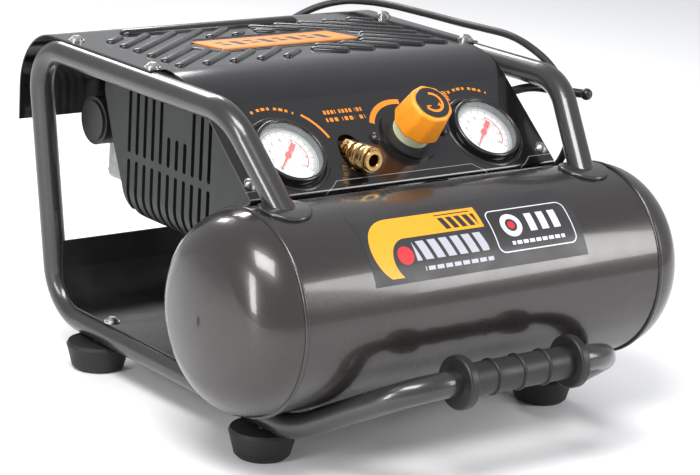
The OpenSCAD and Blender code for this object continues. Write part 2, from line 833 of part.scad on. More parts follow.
module crankcase() {
    color("#9a9da0") difference() {
        union() {
            on_shaft(case_x) cylinder(r = case_r, h = case_w);
            on_shaft(motor_x - 5) cylinder(r = motor_r, h = 5);
            bar_y_axis(liner_r, shaft_y + chamber_r - 8, cylinder_y, crank_x, shaft_z);
        }
        on_shaft(case_x + wall_w) cylinder(r = chamber_r, h = case_w - 2 * wall_w);
        on_shaft(case_x - overcut) cylinder(r = shaft_r + 1, h = case_w + 2 * overcut);
        on_shaft(case_x - overcut) cylinder(r = bearing_r, h = bearing_w + overcut);
        bar_y_axis(cylinder_bore / 2, shaft_y, cylinder_y + overcut, crank_x, shaft_z);
    }
}

module crank_disc() {
    disc_w = 14;
    color("#77797c") on_shaft(crank_x - disc_w / 2) difference() {
        translate([0, throw, 0]) cylinder(r = crank_r, h = disc_w);
        translate([0, 0, -overcut]) cylinder(r = shaft_r, h = disc_w + 2 * overcut);
    }
}

module piston_rod() {
    rod_w = 10;
    ring_r = rod_bore_r + 5;
    piston_y = plate_y - 16;
    color("#c9ccd0") {
        difference() {
            union() {
                on_shaft(crank_x - rod_w / 2) cylinder(r = ring_r, h = rod_w);
                bar_y_axis(5, shaft_y + rod_bore_r + 2, piston_y, crank_x, shaft_z);
            }
            on_shaft(crank_x - rod_w) cylinder(r = rod_bore_r, h = 2 * rod_w);
        }
        bar_y_axis(cylinder_bore / 2 - slack, piston_y, piston_y + 10, crank_x, shaft_z);
    }
}

module pump_cylinder() {
    fins = 7;
    fin_pitch = cylinder_l / (fins + 0.5);
    color("#b4b7ba") difference() {
        union() {
            bar_y_axis(liner_r, cylinder_y, plate_y, crank_x, shaft_z);
            for (i = [0 : fins - 1])
                bar_y_axis(liner_r + 4, cylinder_y + (i + 0.5) * fin_pitch,
                    cylinder_y + (i + 0.5) * fin_pitch + 3, crank_x, shaft_z);
        }
        bar_y_axis(cylinder_bore / 2, cylinder_y - overcut, plate_y + overcut, crank_x, shaft_z);
    }
}

module head_block(y0, depth) {
    corner = 6;
    w = head_w / 2 - corner;
    for (a = [0, 1])
        translate([crank_x - (a ? w : head_w / 2), y0, shaft_z - (a ? head_w / 2 : w)])
            cube([a ? 2 * w : head_w, depth, a ? head_w : 2 * w]);
    for (sx = [-1, 1], sz = [-1, 1])
        bar_y_axis(corner, y0, y0 + depth, crank_x + sx * w, shaft_z + sz * w);
}

head_bolt_at = [for (sx = [-1, 1], sz = [-1, 1])
    [crank_x + sx * (head_w / 2 - 7), shaft_z + sz * (head_w / 2 - 7)]];

module head_bolt_holes(y0, y1) {
    for (p = head_bolt_at) bar_y_axis(3.2, y0, y1, p.x, p.y);
}

module valve_plate() {
    color("#707376") difference() {
        head_block(plate_y, valve_t);
        head_bolt_holes(plate_y - overcut, plate_y + valve_t + overcut);
    }
}

module cylinder_head() {
    y0 = plate_y + valve_t;
    color("#b4b7ba") difference() {
        head_block(y0, head_l);
        head_bolt_holes(y0 - overcut, y0 + head_l + overcut);
        for (i = [-2 : 2])
            translate([crank_x + i * 9 - 2, y0 + head_l - 12, shaft_z - head_w])
                cube([4, 13, 2 * head_w]);
    }
}

module head_bolts() {
    y0 = plate_y + valve_t + head_l;
    color("silver") for (p = head_bolt_at) {
        bar_y_axis(3, plate_y, y0, p.x, p.y);
        translate([p.x, y0, p.y]) rotate([-90, 0, 0]) cylinder(d = 11.5, h = 4, $fn = 6);
    }
}

module intake_filter() {
    face_x = crank_x - head_w / 2;
    y = plate_y + valve_t + head_l / 2;
    color("#161616") {
        bar_x_axis(7, face_x - 8, face_x, y, filter_z);
        bar_x_axis(filter_r, face_x - 26, face_x - 8, y, filter_z);
        bar_x_axis(filter_r - 4, face_x - 28, face_x - 26, y, filter_z);
    }
}

module vibration_mounts() {
    color("black") for (p = mount_places) translate([p.x, p.y, tray_top_z]) {
        cylinder(r = mount_r, h = mount_h * 0.3);
        cylinder(r = mount_r - 3, h = mount_h);
        translate([0, 0, mount_h * 0.7]) cylinder(r = mount_r, h = mount_h * 0.3);
    }
}

// ---------------------------------------------------------------- controls and valves
module pressure_switch() {
    color("#202022") difference() {
        translate([switch_at.x - switch_size.x / 2, switch_at.y, switch_at.z - 12])
            cube(switch_size);
        bar_x_axis(4 + slack, switch_at.x + switch_size.x / 2 - 10,
            switch_at.x + switch_size.x, switch_at.y + 25, switch_at.z + 18);
    }
}

module switch_knob() {
    x = switch_at.x + switch_size.x / 2;
    color("red") {
        bar_x_axis(4, x - 9, x + 1, switch_at.y + 25, switch_at.z + 18);
        bar_x_axis(14, x + 0.4, x + 9, switch_at.y + 25, switch_at.z + 18);
        translate([x + 9, switch_at.y + 12, switch_at.z + 15]) cube([5, 26, 6]);
    }
}

safety_x = -12;
safety_z = manifold_at.z + manifold_r;

module safety_valve() {
    color("goldenrod") translate([safety_x, manifold_at.y, safety_z - 2]) difference() {
        union() {
            cylinder(d = 14 / cos(30), h = 10, $fn = 6);
            cylinder(r = 6, h = 24);
        }
        translate([0, 0, 12]) cylinder(r = 1.5 + slack, h = 20);
    }
}

module safety_ring() {
    z = safety_z - 2;
    color("silver") {
        translate([safety_x, manifold_at.y, z + 13]) cylinder(r = 1.5, h = 13);
        translate([safety_x, manifold_at.y, z + 32]) rotate([90, 0, 0])
            rotate_extrude() translate([6, 0]) circle(r = 1.1);
    }
}

module discharge_pipe() {
    start = crank_x + head_w / 2;
    y = plate_y + valve_t + 8;
    color("#b87333") tube_run([[start, y, shaft_z - 16], [pipe_x, y, shaft_z - 16],
        [pipe_x, y, pipe_z], [pipe_x, tank_r + 9, pipe_z]], [22, 22], pipe_d / 2, 1);
}

module drain_tap() {
    color("goldenrod") translate([0, drain_y, drain_z - drain_h]) difference() {
        union() {
            cylinder(r = 8, h = drain_h);
            translate([0, 0, 2]) cylinder(d = 17 / cos(30), h = 4, $fn = 6);
        }
        translate([0, 0, -overcut]) cylinder(r = 4 + slack, h = drain_h - 1 + overcut);
    }
}

module drain_screw() {
    color("goldenrod") translate([0, drain_y, drain_z - drain_h]) {
        translate([0, 0, -3]) cylinder(r = 4, h = 9);
        translate([-10, -1.5, -8]) cube([20, 3, 6]);
    }
}

// ---------------------------------------------------------------- mains lead
lead_r = lead_d / 2;
relief_l = 34;
coil_centre = [95, 455, 0];
coil_r = 40;
coil_wall = 14;
coil_h = 21;
route = [
    gland_at + [0, relief_l, 0],
    gland_at + [0.5, relief_l + 14, -0.4],
    gland_at + [2, 79, -6],
    gland_at + [8, 109, -12],
    gland_at + [18, 135, -4.6],
    gland_at + [28, 150, 19.4],
    gland_at + [40, 154, 51.4],
    gland_at + [60, 152, 81.4],
    [118, 390, 280],
    [146, 380, 296],
    [166, 360, 305],
    [178, 334, 308],
    [184, 305, 309],
    [187, 275, 309],
    [189, 245, 309],
    [190, 210, 309],
    [190, 173, 310],
    [191, 140, 310],
    [192, 112, 305],
    [193, 84, 294],
    [194, 62, 276],
    [192, 48, 254],
    [188, 44, 230],
    [187, 54, 209],
    [187, 71, 193],
    [189, 85, 169],
    [191, 94, 137],
    [192, 96, 103],
    [193, 98, 70],
    [196, 104, 40],
    [199, 118, 19],
    [201, 142, 8],
    [202, 175, 4.4],
    [203, 215, 3.8],
    [203, 265, 3.7],
    [200, 320, 3.6],
    [190, 375, 3.6],
    [168, 413, 3.6],
    [145.6, 452, 3.6]];

function catmull(p0, p1, p2, p3, t) =
    0.5 * (2 * p1 + (p2 - p0) * t + (2 * p0 - 5 * p1 + 4 * p2 - p3) * t * t
    + (3 * p1 - p0 - 3 * p2 + p3) * t * t * t);

function smooth(p, n) = [for (i = [0 : len(p) - 2], k = [0 : n - 1])
    catmull(p[max(i - 1, 0)], p[i], p[i + 1], p[min(i + 2, len(p) - 1)], k / n), p[len(p) - 1]];

function tangent(p, i) = unit(p[min(i + 1, len(p) - 1)] - p[max(i - 1, 0)]);

// One closed tube swept along the points of a path
module cord_tube(p, r, sides) {
    rings = len(p);
    verts = [for (i = [0 : rings - 1]) let (
            u = tangent(p, i), a = side_of(u), b = cross(u, a))
        for (k = [0 : sides - 1]) p[i] + r * (cos(k * 360 / sides) * a + sin(k * 360 / sides) * b)];
    walls = [for (i = [0 : rings - 2], k = [0 : sides - 1])
        let (n = (k + 1) % sides)
        [i * sides + k, (i + 1) * sides + k, (i + 1) * sides + n, i * sides + n]];
    caps = [[for (k = [0 : sides - 1]) k],
        [for (k = [sides - 1 : -1 : 0]) (rings - 1) * sides + k]];
    polyhedron(points = verts, faces = concat(walls, caps));
}

module strain_relief() {
    color("black") translate(gland_at) rotate([-90, 0, 0]) {
        cylinder(r = 9, h = 6);
        cylinder(r1 = 7, r2 = lead_r + 1, h = relief_l);
    }
}

module mains_lead() {
    color("black") cord_tube(smooth(route, 2), lead_r, 8);
}

module lead_coil() {
    color("black") translate(coil_centre) rotate_extrude()
        translate([coil_r - coil_wall / 2, 0.1]) square([coil_wall, coil_h]);
}

module mains_plug() {
    color("black") translate([coil_centre.x - 74, coil_centre.y - 20, 0.1]) {
        cube([24, 40, 28]);
    }
}

module place() {
    translate([0, -origin_y, 0]) children();
}

place() tank_shell();
place() tank_head_left();
place() tank_head_right();
place() tank_ports();
place() roll_bar_left();
place() roll_bar_right();
place() front_handle();
place() handle_grip();
place() bar_foot_plates();
place() handle_brackets();
place() rubber_feet();
place() foot_bolts();
place() base_tray();
place() tray_bolts();
place() top_cover();
place() cover_bolts();
place() badge_plate();
place() cord_hook();
place() gauge_case_left();
place() gauge_dial_left();
place() gauge_needle_left();
place() gauge_lens_left();
place() gauge_case_right();
place() gauge_dial_right();
place() gauge_needle_right();
place() gauge_lens_right();
place() regulator_body();
place() regulator_lock_ring();
place() regulator_knob();
place() knob_cap();
place() air_manifold();
place() coupler_body();
place() coupler_sleeve();
place() panel_screws();
place() fan_shroud();
place() cooling_fan();
place() motor_housing();
place() motor_stator();
place() motor_rotor();
place() motor_bearings();
place() crankcase();
place() crank_disc();
place() piston_rod();
place() pump_cylinder();
place() valve_plate();
place() cylinder_head();
place() head_bolts();
place() intake_filter();
place() vibration_mounts();
place() pressure_switch();
place() switch_knob();
place() safety_valve();
place() safety_ring();
place() discharge_pipe();
place() drain_tap();
place() drain_screw();
place() strain_relief();
place() mains_lead();
place() lead_coil();
place() mains_plug();
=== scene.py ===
"""Looks of a roll-cage air compressor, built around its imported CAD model."""

import json
from math import atan2, cos, degrees, pi, radians, sin, tau

import bpy
from mathutils import Matrix, Vector


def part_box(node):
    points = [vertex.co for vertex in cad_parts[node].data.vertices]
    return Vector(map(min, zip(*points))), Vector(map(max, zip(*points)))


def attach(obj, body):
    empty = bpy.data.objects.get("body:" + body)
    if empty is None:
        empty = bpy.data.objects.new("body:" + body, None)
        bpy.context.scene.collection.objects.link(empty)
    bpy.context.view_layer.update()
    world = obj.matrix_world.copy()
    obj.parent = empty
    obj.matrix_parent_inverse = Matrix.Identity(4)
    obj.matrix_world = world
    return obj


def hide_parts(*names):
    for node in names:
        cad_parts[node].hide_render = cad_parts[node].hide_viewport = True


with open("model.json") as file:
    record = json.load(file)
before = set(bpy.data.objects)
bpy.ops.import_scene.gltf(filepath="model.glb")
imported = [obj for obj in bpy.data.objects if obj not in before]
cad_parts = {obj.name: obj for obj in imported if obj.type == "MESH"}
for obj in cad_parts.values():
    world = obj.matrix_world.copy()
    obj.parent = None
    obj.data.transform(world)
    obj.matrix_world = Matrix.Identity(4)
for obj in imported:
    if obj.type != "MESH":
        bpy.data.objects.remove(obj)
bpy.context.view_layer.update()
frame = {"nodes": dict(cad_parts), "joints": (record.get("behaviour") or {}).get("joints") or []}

MM = 0.001
NODES = frame["nodes"]
JOINTS = {j["name"]: j for j in frame["joints"]}
X, Y, Z = Vector((1, 0, 0)), Vector((0, 1, 0)), Vector((0, 0, 1))

# ---------------------------------------------------------------- places, all from the frame


def middle(node):
    low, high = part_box(node)
    return (low + high) / 2


def size(node):
    low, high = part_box(node)
    return high - low


def joint_place(name):
    return Vector(JOINTS[name]["pos_m"]), Vector(JOINTS[name]["axis"]).normalized()


TANK = middle("tank_shell")
TANK_R = size("tank_shell").z / 2
GAUGE_LEFT = joint_place("tank_gauge_needle")[0]
GAUGE_RIGHT = joint_place("outlet_gauge_needle")[0]
KNOB_PIVOT_H = 20 * MM
KNOB, PANEL_OUT = joint_place("regulator_turn")
KNOB = KNOB - KNOB_PIVOT_H * PANEL_OUT
PANEL_UP = PANEL_OUT.cross(X)
COVER_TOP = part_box("top_cover")[1].z
BADGE = middle("badge_plate")
OUTLET = middle("coupler_sleeve")


def on_panel(centre):
    """The frame of a round piece on the panel: local Z points out of the panel."""
    m = Matrix((X, PANEL_UP, PANEL_OUT)).transposed().to_4x4()
    m.translation = centre
    return m


def along(axis, up, centre):
    """A frame whose local Z is axis and whose local X is close to up."""
    axis = axis.normalized()
    side = (up - up.dot(axis) * axis).normalized()
    m = Matrix((side, axis.cross(side), axis)).transposed().to_4x4()
    m.translation = centre
    return m


# ---------------------------------------------------------------- modelling, one edit at a time


def deselect():
    if bpy.context.object and bpy.context.object.mode != "OBJECT":
        bpy.ops.object.mode_set(mode="OBJECT")
    bpy.ops.object.select_all(action="DESELECT")


def only(obj):
    deselect()
    obj.select_set(True)
    bpy.context.view_layer.objects.active = obj


def settle(obj, place=None, smooth=35):
    """Puts a piece in its place, with that place in its mesh, and smooths its faces."""
    only(obj)
    if place is not None:
        obj.matrix_world = place @ obj.matrix_world
    bpy.ops.object.transform_apply(location=True, rotation=True, scale=True)
    bpy.ops.object.shade_smooth_by_angle(angle=radians(smooth))
    return obj


def modify(obj, kind, **settings):
    only(obj)
    mod = obj.modifiers.new(kind.title(), kind)
    for key, value in settings.items():
        setattr(mod, key, value)
    bpy.ops.object.modifier_apply(modifier=mod.name)


def outward(obj, merge=1e-6):
    only(obj)
    bpy.ops.object.mode_set(mode="EDIT")
    bpy.ops.mesh.select_all(action="SELECT")
    bpy.ops.mesh.remove_doubles(threshold=merge)
    bpy.ops.mesh.normals_make_consistent(inside=False)
    bpy.ops.object.mode_set(mode="OBJECT")


def chain(name, points):
    """A line of vertices, extruded one after another from a single one."""
    deselect()
    bpy.ops.mesh.primitive_plane_add(size=MM)
    obj = bpy.context.object
    obj.name = name
    bpy.ops.object.mode_set(mode="EDIT")
    bpy.ops.mesh.select_all(action="SELECT")
    bpy.ops.mesh.merge(type="CENTER")
    bpy.ops.transform.translate(value=Vector(points[0]))
    for a, b in zip(points, points[1:]):
        step = Vector(b) - Vector(a)
        bpy.ops.mesh.extrude_region_move(TRANSFORM_OT_translate={"value": step})
    return obj


def turned(name, outline, place, steps=64):
    """A lathe-turned piece: outline is (radius, height) in mm, spun about local Z."""
    obj = chain(name, [(r * MM, 0, h * MM) for r, h in outline])
    bpy.ops.mesh.select_all(action="SELECT")
    bpy.ops.mesh.spin(steps=steps, angle=tau, center=(0, 0, 0), axis=(0, 0, 1))
    bpy.ops.object.mode_set(mode="OBJECT")
    outward(obj, 2e-6)
    return settle(obj, place)


def round_corner(r, z, bend, start, end, steps=5):
    """Points of an outline's round corner, about a centre at (r, z), in mm."""
    return [(r + bend * cos(radians(start + (end - start) * i / steps)),
             z + bend * sin(radians(start + (end - start) * i / steps))) for i in range(steps + 1)]


def join(name, pieces):
    deselect()
    for p in pieces:
        p.select_set(True)
    bpy.context.view_layer.objects.active = pieces[0]
    bpy.ops.object.join()
    pieces[0].name = name
    return pieces[0]


def bead(name, points, radius, closed=False, sides=4):
    """A round bead, lead or wire through points."""
    curve = bpy.data.curves.new(name, "CURVE")
    curve.dimensions = "3D"
    spline = curve.splines.new("POLY")
    spline.points.add(len(points) - 1)
    for p, co in zip(spline.points, points):
        p.co = (*co, 1)
    spline.use_cyclic_u = closed
    curve.bevel_depth = radius
    curve.bevel_resolution = sides
    curve.use_fill_caps = True
    obj = bpy.data.objects.new(name, curve)
    bpy.context.collection.objects.link(obj)
    return obj


def as_mesh(obj):
    only(obj)
    bpy.ops.object.convert(target="MESH")
    return bpy.context.object


def finish_piece(obj, material, body="frame", replaces=()):
    obj.data.materials.clear()
    obj.data.materials.append(material)
    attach(obj, body)
    if replaces:
        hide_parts(*replaces)
    return obj


# ---------------------------------------------------------------- shader maths


class Value:
    """A socket of a material, with arithmetic that adds Math nodes."""

    def __init__(self, shader, socket):
        self.shader, self.socket = shader, socket

    def math(self, operation, *others):
        node = self.shader.node("ShaderNodeMath", {"operation": operation})
        for i, v in enumerate((self, *others)):
            self.shader.plug(node.inputs[i], v)
        return Value(self.shader, node.outputs[0])

    def __add__(self, o): return self.math("ADD", o)
    def __sub__(self, o): return self.math("SUBTRACT", o)
    def __mul__(self, o): return self.math("MULTIPLY", o)
    def __truediv__(self, o): return self.math("DIVIDE", o)
    def __rsub__(self, o): return self * -1 + o
    def __lt__(self, o): return self.math("LESS_THAN", o)
    def __gt__(self, o): return self.math("GREATER_THAN", o)
    def __mod__(self, o): return self.math("FLOORED_MODULO", o)
    def __abs__(self): return self.math("ABSOLUTE")
    __radd__, __rmul__ = __add__, __mul__

    def most(self, o): return self.math("MAXIMUM", o)
    def between(self, low, high): return (self > low) * (self < high)


class Shader:
    """One material, whose nodes are added as they are asked for."""

    def __init__(self, name, color, roughness, metallic=0.0, coat=0.0, coat_roughness=0.05, ior=1.5):
        self.material = bpy.data.materials.new(name)
        self.material.use_nodes = True
        self.tree = self.material.node_tree
        self.bsdf = self.tree.nodes["Principled BSDF"]
        self.base = (*color, 1)
        for key, value in (("Base Color", self.base), ("Roughness", roughness), ("Metallic", metallic),
                           ("Coat Weight", coat), ("Coat Roughness", coat_roughness), ("IOR", ior)):
            self.bsdf.inputs[key].default_value = value

    def node(self, kind, settings=None, **sockets):
        node = self.tree.nodes.new(kind)
        for key, value in (settings or {}).items():
            setattr(node, key, value)
        for key, value in sockets.items():
            self.plug(node.inputs[key.replace("_", " ")], value)
        return node

    def plug(self, socket, value):
        if isinstance(value, Value):
            self.tree.links.new(value.socket, socket)
        elif hasattr(value, "is_output"):
            self.tree.links.new(value, socket)
        else:
            socket.default_value = value

    def set(self, key, value):
        self.plug(self.bsdf.inputs[key], value)

    def place(self, centre=(0, 0, 0)):
        """Object coordinates measured from a point, in metres."""
        coords = self.node("ShaderNodeTexCoord").outputs["Object"]
        shift = self.node("ShaderNodeVectorMath", {"operation": "SUBTRACT"})
        self.plug(shift.inputs[0], coords)
        shift.inputs[1].default_value = centre
        return shift.outputs[0]

    def part(self, vector, axis):
        """How far a place lies along an axis, in mm."""
        dot = self.node("ShaderNodeVectorMath", {"operation": "DOT_PRODUCT"})
        self.plug(dot.inputs[0], vector)
        dot.inputs[1].default_value = tuple(Vector(axis) * 1000)
        return Value(self, dot.outputs["Value"])

    def noise(self, scale, detail=3.0, vector=None, roughness=0.5):
        node = self.node("ShaderNodeTexNoise", Scale=scale, Detail=detail, Roughness=roughness)
        self.plug(node.inputs["Vector"], vector or self.place())
        return Value(self, node.outputs["Fac"])

    def ramp(self, value, low, high, out_low=0.0, out_high=1.0):
        node = self.node("ShaderNodeMapRange")
        node.inputs["From Min"].default_value = low
        node.inputs["From Max"].default_value = high
        node.inputs["To Min"].default_value = out_low
        node.inputs["To Max"].default_value = out_high
        self.plug(node.inputs["Value"], value)
        return Value(self, node.outputs["Result"])

    def polar(self, u, v, centre_u, centre_v):
        """Distance from a centre, and the angle about it in degrees."""
        du, dv = u - centre_u, v - centre_v
        return (du * du + dv * dv).math("SQRT"), dv.math("ARCTAN2", du) * (180 / pi)

    def paint(self, mask, color, under=None):
        """Lays a colour over what is there, where mask is 1."""
        mix = self.node("ShaderNodeMix", {"data_type": "RGBA"})
        self.plug(mix.inputs["Factor"], mask)
        mix.inputs["A"].default_value = self.base
        link = self.bsdf.inputs["Base Color"].links
        source = under or (link[0].from_socket if link else self.base)
        self.plug(mix.inputs[6], source)
        self.plug(mix.inputs[7], (*color, 1))
        self.set("Base Color", mix.outputs[2])
        return mix.outputs[2]

    def bump(self, height, strength=0.3, distance=0.0002):
        node = self.node("ShaderNodeBump", Strength=strength, Distance=distance, Height=height)
        link = self.bsdf.inputs["Normal"].links
        if link:
            self.plug(node.inputs["Normal"], link[0].from_socket)
        self.set("Normal", node.outputs["Normal"])


def metallic_paint(name, color, roughness=0.3):
    s = Shader(name, color, roughness, metallic=0.55, coat=0.5, coat_roughness=0.08)
    flake = s.noise(2600, 2)
    cloud = s.noise(18, 3)
    s.paint(s.ramp(flake, 0.52, 0.68), tuple(c * 1.9 for c in color))
    s.paint(s.ramp(cloud, 0.35, 0.75, 0, 0.25), tuple(c * 0.7 for c in color))
    s.set("Roughness", s.ramp(cloud, 0.3, 0.7, roughness * 0.85, roughness * 1.2))
    s.bump(s.noise(420, 2), 0.12, 0.0001)
    return s


def black_paint(name, color=(0.012, 0.012, 0.013), roughness=0.28, coat=0.35):
    s = Shader(name, color, roughness, coat=coat, coat_roughness=0.12)
    dust = s.noise(35, 5)
    s.paint(s.ramp(dust, 0.45, 0.8, 0, 0.35), tuple(c * 2.2 for c in color))
    s.set("Roughness", s.ramp(dust, 0.3, 0.75, roughness * 0.8, roughness * 1.35))
    s.bump(s.noise(650, 2), 0.15, 0.0001)
    return s


def moulded(name, color, roughness=0.5, grain=1400, depth=0.35):
    s = Shader(name, color, roughness)
    worn = s.noise(60, 4)
    s.paint(s.ramp(worn, 0.4, 0.8, 0, 0.4), tuple(min(1, c * 1.5 + 0.004) for c in color))
    s.set("Roughness", s.ramp(worn, 0.3, 0.7, roughness * 0.85, min(1, roughness * 1.2)))
    s.bump(s.noise(grain, 2), depth, 0.00012)
    return s


def machined(name, color, roughness=0.25, grain=900, tarnish=(0.5, 0.45, 0.35)):
    s = Shader(name, color, roughness, metallic=1.0)
    stain = s.noise(90, 5)
    s.paint(s.ramp(stain, 0.5, 0.85, 0, 0.6), tuple(c * t for c, t in zip(color, tarnish)))
    s.set("Roughness", s.ramp(stain, 0.3, 0.8, roughness * 0.7, roughness * 1.6))
    s.bump(s.noise(grain, 3), 0.12, 0.0001)
    return s


TANK_PAINT = metallic_paint("tank_paint", (0.04, 0.036, 0.034), 0.26)
BAR_PAINT = metallic_paint("bar_paint", (0.042, 0.04, 0.04), 0.3)
TRAY_PAINT = black_paint("tray_paint", (0.008, 0.008, 0.0085), 0.38, 0.2)
RUBBER = moulded("rubber", (0.006, 0.006, 0.006), 0.6, 900, 0.3)
GRIP_RUBBER = moulded("grip_rubber", (0.008, 0.008, 0.0085), 0.45, 1600, 0.25)
CORD_SHEATH = moulded("cord_sheath", (0.014, 0.014, 0.014), 0.45, 700, 0.15)
SHROUD_PLASTIC = moulded("shroud_plastic", (0.009, 0.0105, 0.0095), 0.4, 1500, 0.45)
CASE_PLASTIC = moulded("case_plastic", (0.012, 0.012, 0.013), 0.32, 1200, 0.15)
ORANGE_PLASTIC = moulded("orange_plastic", (0.83, 0.27, 0.012), 0.38, 1300, 0.2)
PALE_PLASTIC = moulded("pale_plastic", (0.58, 0.62, 0.4), 0.4, 1200, 0.15)
RED_PLASTIC = moulded("red_plastic", (0.6, 0.02, 0.012), 0.35, 1200, 0.15)
ZINC = machined("zinc", (0.5, 0.5, 0.47), 0.3)
STEEL = machined("steel", (0.48, 0.48, 0.49), 0.35)
BRASS = machined("brass", (0.45, 0.29, 0.12), 0.24)
COPPER = machined("copper", (0.75, 0.38, 0.2), 0.3)
ALLOY = machined("cast_alloy", (0.5, 0.5, 0.5), 0.55, 350, (0.6, 0.6, 0.6))
MOTOR_PAINT = moulded("motor_paint", (0.05, 0.05, 0.053), 0.45, 300, 0.5)
NEEDLE_RED = moulded("needle_red", (0.62, 0.015, 0.01), 0.4, 1200, 0.1)

LOOKS = {
    TANK_PAINT: ("tank_shell", "tank_head_left", "tank_head_right", "tank_ports"),
    BAR_PAINT: ("roll_bar_left", "roll_bar_right", "front_handle", "bar_foot_plates",
                "handle_brackets"),
    TRAY_PAINT: ("base_tray",),
    RUBBER: ("rubber_feet", "vibration_mounts", "strain_relief"),
    ZINC: ("foot_bolts", "tray_bolts", "cover_bolts", "head_bolts", "safety_ring"),
    CASE_PLASTIC: ("cord_hook", "regulator_body", "intake_filter", "pressure_switch",
                   "panel_screws"),
    GRIP_RUBBER: ("handle_grip",),
    PALE_PLASTIC: ("regulator_lock_ring",),
    RED_PLASTIC: ("switch_knob",),
    BRASS: ("air_manifold", "safety_valve", "drain_tap", "drain_screw"),
    SHROUD_PLASTIC: ("fan_shroud", "cooling_fan"),
    MOTOR_PAINT: ("motor_housing",),
    STEEL: ("motor_stator", "motor_rotor", "motor_bearings", "crank_disc", "valve_plate"),
    ALLOY: ("crankcase", "piston_rod", "pump_cylinder", "cylinder_head"),
    COPPER: ("discharge_pipe",),
    NEEDLE_RED: ("gauge_needle_left", "gauge_needle_right"),
}


def wear(node, shader):
    mats = NODES[node].data.materials
    mats.clear()
    mats.append(shader.material)


for look, names in LOOKS.items():
    for name in names:
        wear(name, look)

# ---------------------------------------------------------------- camera, light and floor

CAMERA_AT = Vector((-1.3056, TANK.y - 1.5721, 0.7287))
LOOK = Vector((0.5907, 0.7626, -0.2637)).normalized()
ROLL = radians(3.28)


def add_camera():
    side = LOOK.cross(Z).normalized()
    up = side.cross(LOOK)
    right = side * cos(ROLL) + up * sin(ROLL)
    top = up * cos(ROLL) - side * sin(ROLL)
    data = bpy.data.cameras.new("camera")
    data.lens = 128.4
    data.sensor_width = 36
    data.clip_end = 50
    camera = bpy.data.objects.new("camera", data)
    camera.matrix_world = Matrix((right, top, -LOOK)).transposed().to_4x4()
    camera.matrix_world.translation = CAMERA_AT
    bpy.context.collection.objects.link(camera)
    bpy.context.scene.camera = camera


def add_light(name, at, target, width, height, watts):
    data = bpy.data.lights.new(name, "AREA")
    data.shape = "RECTANGLE"
    data.size, data.size_y = width, height
    data.energy = watts
    lamp = bpy.data.objects.new(name, data)
    lamp.matrix_world = (Vector(target) - Vector(at)).to_track_quat("-Z", "Y").to_matrix().to_4x4()
    lamp.matrix_world.translation = at
    bpy.context.collection.objects.link(lamp)


def add_studio():
    world = bpy.data.worlds.new("studio")
    world.use_nodes = True
    world.node_tree.nodes["Background"].inputs["Color"].default_value = (0.95, 0.96, 1.0, 1)
    world.node_tree.nodes["Background"].inputs["Strength"].default_value = 0.6
    bpy.context.scene.world = world
    middle_of_part = Vector((0, 0, 0.18))
    add_light("key", (-0.9, -0.7, 1.9), middle_of_part, 1.1, 0.7, 40)
    add_light("side", (-1.9, -0.4, 0.75), middle_of_part, 0.35, 1.1, 20)
    add_light("fill", (1.3, -1.5, 0.9), middle_of_part, 0.6, 0.9, 16)
    add_light("back", (0.4, 1.6, 1.4), middle_of_part, 1.2, 0.5, 22)
    bpy.context.scene.view_settings.view_transform = "Standard"
    deselect()
    bpy.ops.mesh.primitive_plane_add(size=12, location=(0, 0, -0.0003))
    floor = bpy.context.object
    floor.name = "floor"
    pale = Shader("pale_floor", (0.88, 0.88, 0.88), 0.65)
    pale.bump(pale.noise(40, 2), 0.02, 0.0002)
    floor.data.materials.append(pale.material)


add_camera()
add_studio()

# ---------------------------------------------------------------- panel and cover

GAUGE_X = GAUGE_RIGHT.x / MM
GAUGE_S = 42
PANEL_ZERO = Vector((0, GAUGE_LEFT.y, GAUGE_LEFT.z)) - GAUGE_S * MM * PANEL_UP
KNOB_X = KNOB.x / MM
KNOB_S = (KNOB - PANEL_ZERO).dot(PANEL_UP) / MM
ORANGE = (0.86, 0.24, 0.01)


def printed_panel():
    """Glossy black sheet with the printed field between and around the gauges."""
    s = black_paint("panel_paint", (0.004, 0.004, 0.0045), 0.13, 0.35)
    at = s.place(PANEL_ZERO)
    u, v = s.part(at, X), s.part(at, PANEL_UP)
    r_left, a_left = s.polar(u, v, -GAUGE_X, GAUGE_S)
    r_right, a_right = s.polar(u, v, GAUGE_X, GAUGE_S)
    r_knob, a_knob = s.polar(u, v, KNOB_X, KNOB_S)
    near = (r_left < 46).most(r_right < 46)
    field = (v > 10).most(near) * (v < 97)
    s.paint(field, (0.008, 0.008, 0.0085))
    edge = v.between(9.5, 10.2) * (1 - near)
    edge = edge.most((r_left.between(45.6, 46.3)).most(r_right.between(45.6, 46.3)) * (v < 10))
    s.paint(edge, (0.2, 0.2, 0.2))
    strokes = r_left.between(48.8, 51.2) * a_left.between(14, 50)
    strokes = strokes.most(r_right.between(48.8, 51.2) * a_right.between(130, 166))
    for r, a in ((r_left, a_left), (r_right, a_right)):
        dashes = r.between(46.8, 49.6) * a.between(58, 112) * ((a % 7) < 4.6)
        strokes = strokes.most(dashes * (((a + 3.5) % 21) > 5))
    crescent = r_knob.between(33.5, 38.5) * a_knob.between(78, 154)
    strokes = strokes.most(crescent)
    for row, pitch in ((78, 3.9), (70, 5.3)):
        line = v.between(row, row + 4) * u.between(-52, -10) * ((u % pitch) < pitch * 0.62)
        strokes = strokes.most(line * (((u + 4) % 17) > 3.5))
    icon = (abs(u - 83) < 5.5) * (abs(v - 84) < 5.5) * ((u + v) % 3.4 < 1.9)
    s.paint(strokes.most(icon), ORANGE)
    return s


PANEL_PRINT = printed_panel()
COVER_PAINT = black_paint("cover_paint", (0.005, 0.005, 0.0055), 0.27, 0.3)
wear("top_cover", PANEL_PRINT)


